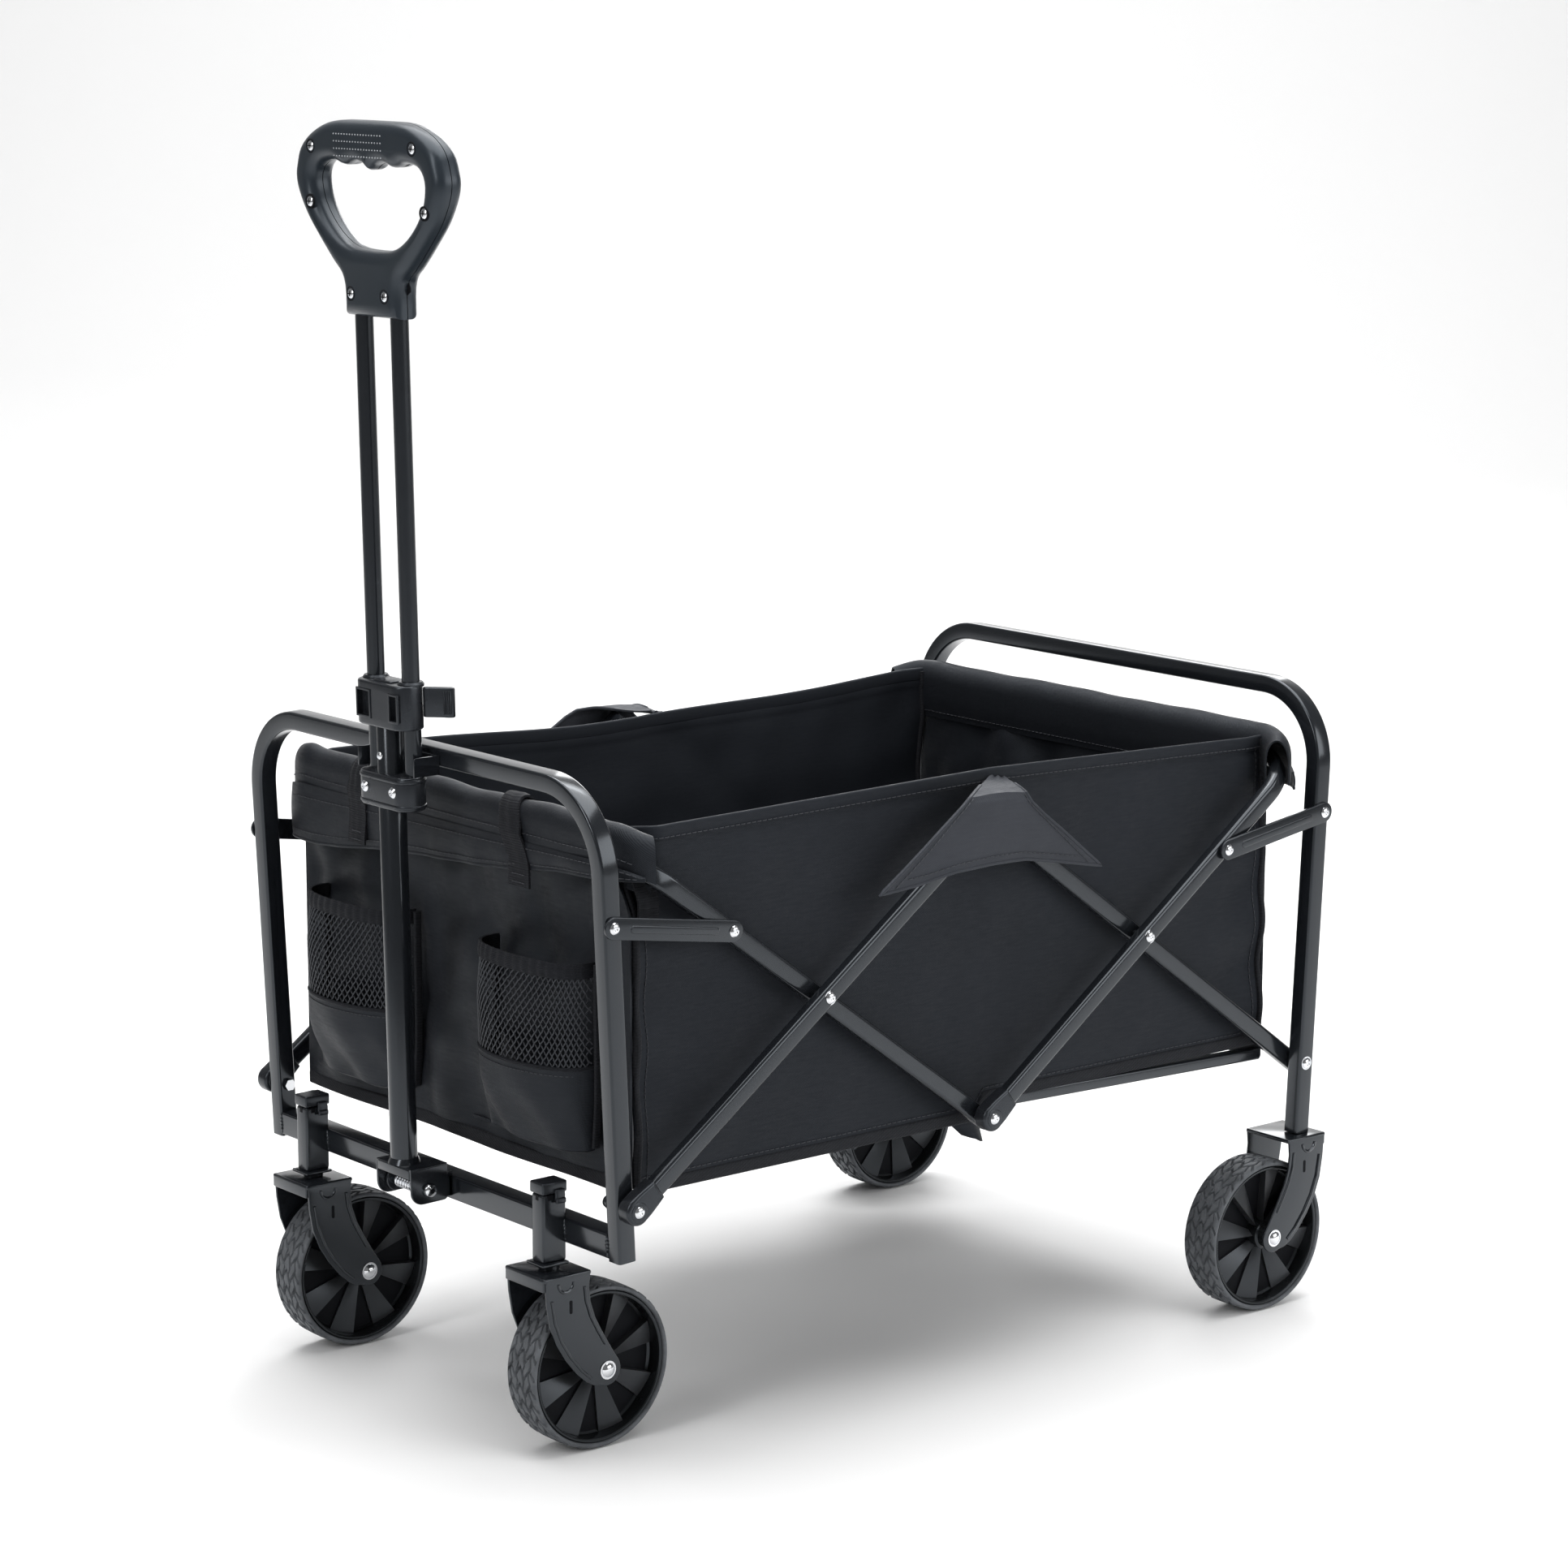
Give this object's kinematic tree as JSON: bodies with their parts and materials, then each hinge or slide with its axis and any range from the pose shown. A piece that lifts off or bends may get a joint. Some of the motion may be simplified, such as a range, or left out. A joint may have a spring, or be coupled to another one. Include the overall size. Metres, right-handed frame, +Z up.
{
  "type": "wagon with pull handle",
  "caption": "Folding utility wagon: cloth basket slung in a double-scissor steel frame, swivelling front casters, telescopic pull handle.",
  "frame": {"origin": "on the floor, under the middle of the overall length and width", "axes": "+Z up, -X towards the pulling pole at the front, +Y towards the wagon's right side"},
  "size_m": [0.8902, 0.5964, 1.1238],
  "materials": {
    "frame": "satin black powder coat",
    "plastic": "fine matt moulding",
    "grip": "soft matt moulding",
    "rivet": "bright plated",
    "fabric": "black coated twill",
    "mesh": "black pouch with open mesh upper half",
    "tyre": "matt",
    "rim": "satin moulding"
  },
  "bodies": {
    "front_frame": {"front_frame_tube": "frame", "front_crossbar": "frame", "socket_cap_left": "plastic", "socket_cap_right": "plastic", "pole_clip": "frame", "front_pivot_rivet_left": "rivet", "front_pivot_rivet_right": "rivet", "hinge_bolt": "rivet"},
    "front_arms": {"front_arm_left": "frame", "front_arm_right": "frame", "front_boot_left": "plastic", "front_boot_right": "plastic", "front_scissor_rivet_left": "rivet", "front_scissor_rivet_right": "rivet"},
    "front_inner_frame": {"front_inner_tube": "frame", "low_cross_rod": "rivet"},
    "rear_inner_frame": {"rear_inner_tube": "frame", "rear_inner_boot_left": "plastic", "rear_inner_boot_right": "plastic", "rear_scissor_rivet_left": "rivet", "rear_scissor_rivet_right": "rivet"},
    "rear_arms": {"rear_arm_left": "frame", "rear_arm_right": "frame"},
    "rear_frame": {"rear_frame_tube": "frame", "rear_fork_left": "frame", "rear_fork_right": "frame", "rear_axle_left": "rivet", "rear_axle_right": "rivet"},
    "front_struts": {"front_strut_left": "frame", "front_strut_right": "frame"},
    "rear_struts": {"rear_strut_left": "frame", "rear_strut_right": "frame"},
    "basket": {"basket_floor": "fabric", "basket_side_left": "fabric", "basket_side_right": "fabric", "basket_front_panel": "fabric", "basket_rear_panel": "fabric", "cup_pocket_left": "mesh", "cup_pocket_right": "mesh", "side_flap_left": "fabric", "side_flap_right": "fabric"},
    "pole": {"pole_tube": "frame", "rod_collar": "plastic"},
    "lock_lever": {"lock_lever": "plastic"},
    "pull_rods": {"pull_rods": "frame", "rod_band": "plastic", "grip_front_shell": "grip", "grip_back_shell": "grip"},
    "caster_left": {"caster_fork_left": "frame", "caster_axle_left": "rivet"},
    "front_wheel_left": {"front_tyre_left": "tyre", "front_hub_left": "rim"},
    "rear_wheel_left": {"rear_tyre_left": "tyre", "rear_hub_left": "rim"},
    "caster_right": {"caster_fork_right": "frame", "caster_axle_right": "rivet"},
    "front_wheel_right": {"front_tyre_right": "tyre", "front_hub_right": "rim"},
    "rear_wheel_right": {"rear_tyre_right": "tyre", "rear_hub_right": "rim"}
  },
  "joints": [
    {"name": "fold", "type": "hinge", "parent": "front_frame", "child": "front_arms", "pos_m": [-0.37581, 0, 0.2334], "axis": [0, -1, 0], "range_deg": [0, 43.8], "deforming": ["basket_floor", "basket_side_left", "basket_side_right", "basket_front_panel", "basket_rear_panel", "cup_pocket_left", "cup_pocket_right", "side_flap_left", "side_flap_right"]},
    {"name": "front_inner_turn", "type": "hinge", "parent": "front_arms", "child": "front_inner_frame", "pos_m": [-0.16834, 0, 0.38525], "axis": [0, -1, 0], "range_deg": [-88, 0]},
    {"name": "rear_inner_turn", "type": "hinge", "parent": "front_inner_frame", "child": "rear_inner_frame", "pos_m": [0.02119, 0, 0.24651], "axis": [0, -1, 0], "range_deg": [0, 88]},
    {"name": "rear_arm_turn", "type": "hinge", "parent": "rear_inner_frame", "child": "rear_arms", "pos_m": [0.21072, 0, 0.38525], "axis": [0, -1, 0], "range_deg": [-88, 0]},
    {"name": "rear_frame_turn", "type": "hinge", "parent": "rear_arms", "child": "rear_frame", "pos_m": [0.41819, 0, 0.2334], "axis": [0, -1, 0], "range_deg": [0, 44]},
    {"name": "front_strut_turn", "type": "hinge", "parent": "front_frame", "child": "front_struts", "pos_m": [-0.38881, 0, 0.4743], "axis": [0, -1, 0], "range_deg": [0, 83]},
    {"name": "rear_strut_turn", "type": "hinge", "parent": "rear_frame", "child": "rear_struts", "pos_m": [0.43119, 0, 0.4743], "axis": [0, -1, 0], "range_deg": [-83, 0]},
    {"name": "basket_rise", "type": "slide", "parent": "front_frame", "child": "basket", "axis": [0, 0, 1], "range_m": [0, 0.196]},
    {"name": "pole_hinge", "type": "hinge", "parent": "front_frame", "child": "pole", "pos_m": [-0.41021, 0, 0.201], "axis": [0, -1, 0], "range_deg": [0, 95]},
    {"name": "lever_turn", "type": "hinge", "parent": "pole", "child": "lock_lever", "pos_m": [-0.4124, -0.0376, 0.63505], "axis": [0.0209, 0, -0.9998], "range_deg": [0, 60]},
    {"name": "rod_slide", "type": "slide", "parent": "pole", "child": "pull_rods", "axis": [0.0209, 0, -0.9998], "range_m": [0, 0.3]},
    {"name": "caster_swivel_left", "type": "hinge", "parent": "front_frame", "child": "caster_left", "pos_m": [-0.39393, -0.182, 0.168], "axis": [0, 0, 1], "continuous": true},
    {"name": "front_spin_left", "type": "hinge", "parent": "caster_left", "child": "front_wheel_left", "pos_m": [-0.35334, -0.182, 0.0725], "axis": [0, 1, 0], "continuous": true},
    {"name": "rear_spin_left", "type": "hinge", "parent": "rear_frame", "child": "rear_wheel_left", "pos_m": [0.37069, -0.2664, 0.0725], "axis": [0, 1, 0], "continuous": true},
    {"name": "caster_swivel_right", "type": "hinge", "parent": "front_frame", "child": "caster_right", "pos_m": [-0.39393, 0.182, 0.168], "axis": [0, 0, 1], "continuous": true},
    {"name": "front_spin_right", "type": "hinge", "parent": "caster_right", "child": "front_wheel_right", "pos_m": [-0.35334, 0.182, 0.0725], "axis": [0, 1, 0], "continuous": true},
    {"name": "rear_spin_right", "type": "hinge", "parent": "rear_frame", "child": "rear_wheel_right", "pos_m": [0.37069, 0.2664, 0.0725], "axis": [0, 1, 0], "continuous": true}
  ],
  "couplings": [
    {"joint": "front_inner_turn", "follows": "fold", "ratio": -2},
    {"joint": "rear_inner_turn", "follows": "fold", "ratio": 2},
    {"joint": "rear_arm_turn", "follows": "fold", "ratio": -2},
    {"joint": "rear_frame_turn", "follows": "fold", "ratio": 1},
    {"joint": "front_strut_turn", "follows": "fold", "ratio": 1.888},
    {"joint": "rear_strut_turn", "follows": "fold", "ratio": -1.888},
    {"joint": "basket_rise", "follows": "fold", "m_per_rad": 0.2548}
  ]
}
